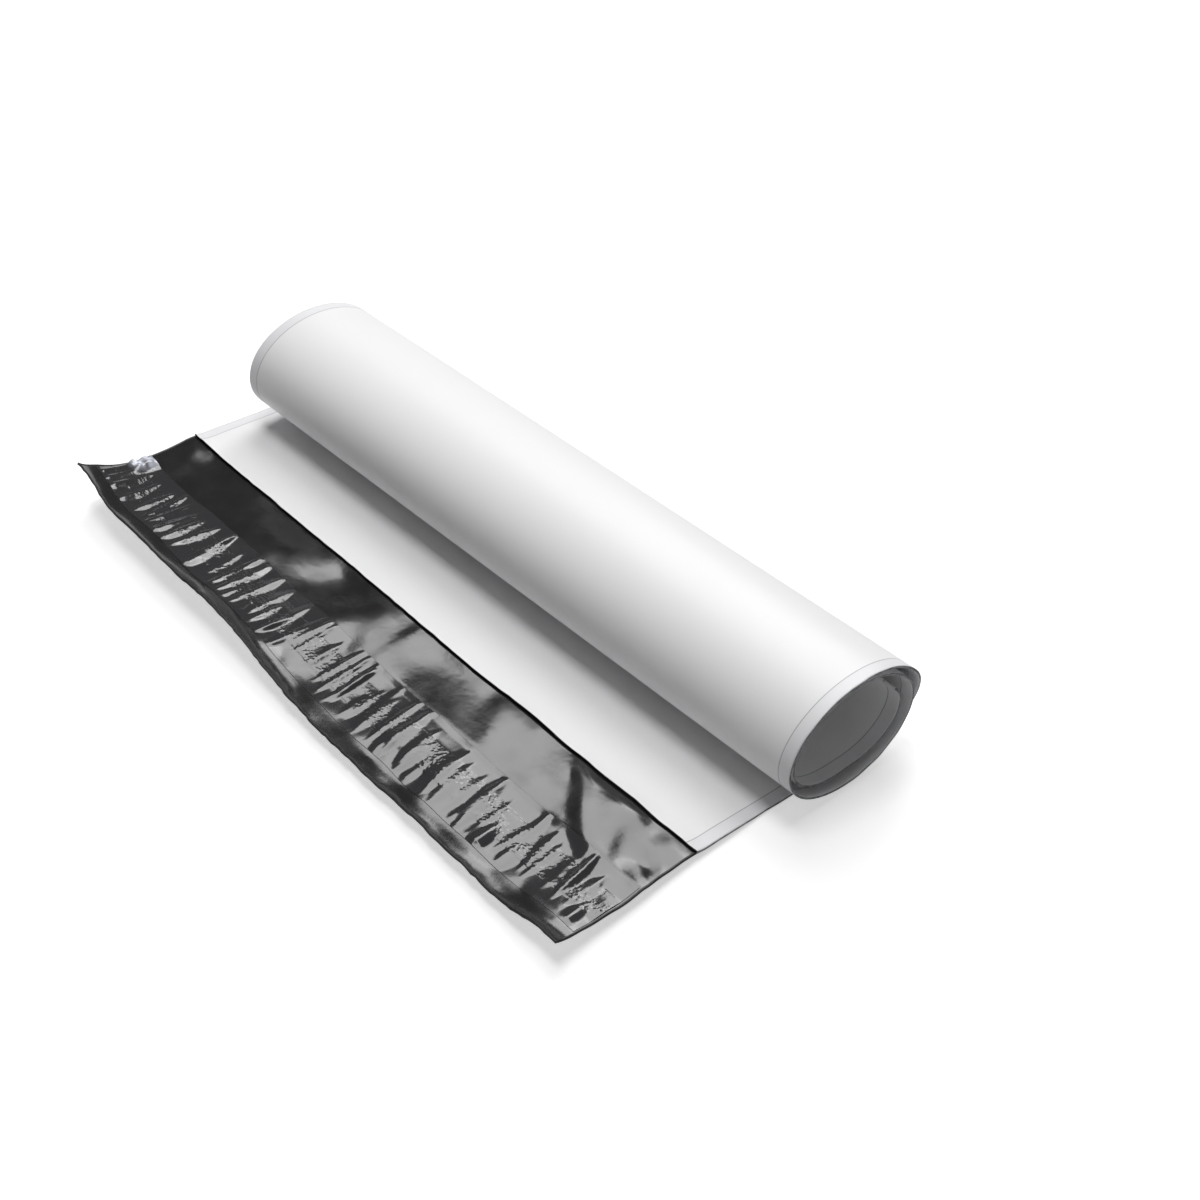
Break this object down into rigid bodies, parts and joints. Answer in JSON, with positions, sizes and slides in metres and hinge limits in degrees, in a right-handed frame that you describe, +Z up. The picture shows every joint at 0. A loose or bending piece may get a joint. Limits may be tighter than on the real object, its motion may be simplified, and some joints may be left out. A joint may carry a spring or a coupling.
{
  "type": "poly mailer bag",
  "caption": "Plain white plastic mailing bag, partly rolled up, with a glossy black inner flap that carries an adhesive strip under a clear liner.",
  "frame": {"origin": "centre of the bounding box at floor level, which lies on the flat stretch of the back panel", "axes": "+X along the roll, across the bag; +Y from the flap towards the roll; +Z up from the surface that the bag lies on"},
  "size_m": [0.2586, 0.1248, 0.0384],
  "materials": {
    "film": "satin white outside, glossy black inside",
    "glue": "bubbly clear hot-melt over black film",
    "liner": "clear, glossy, wrinkled across"
  },
  "bodies": {
    "root": {"mailer_film": "film", "adhesive_strip": "glue", "release_liner": "liner"}
  },
  "joints": []
}
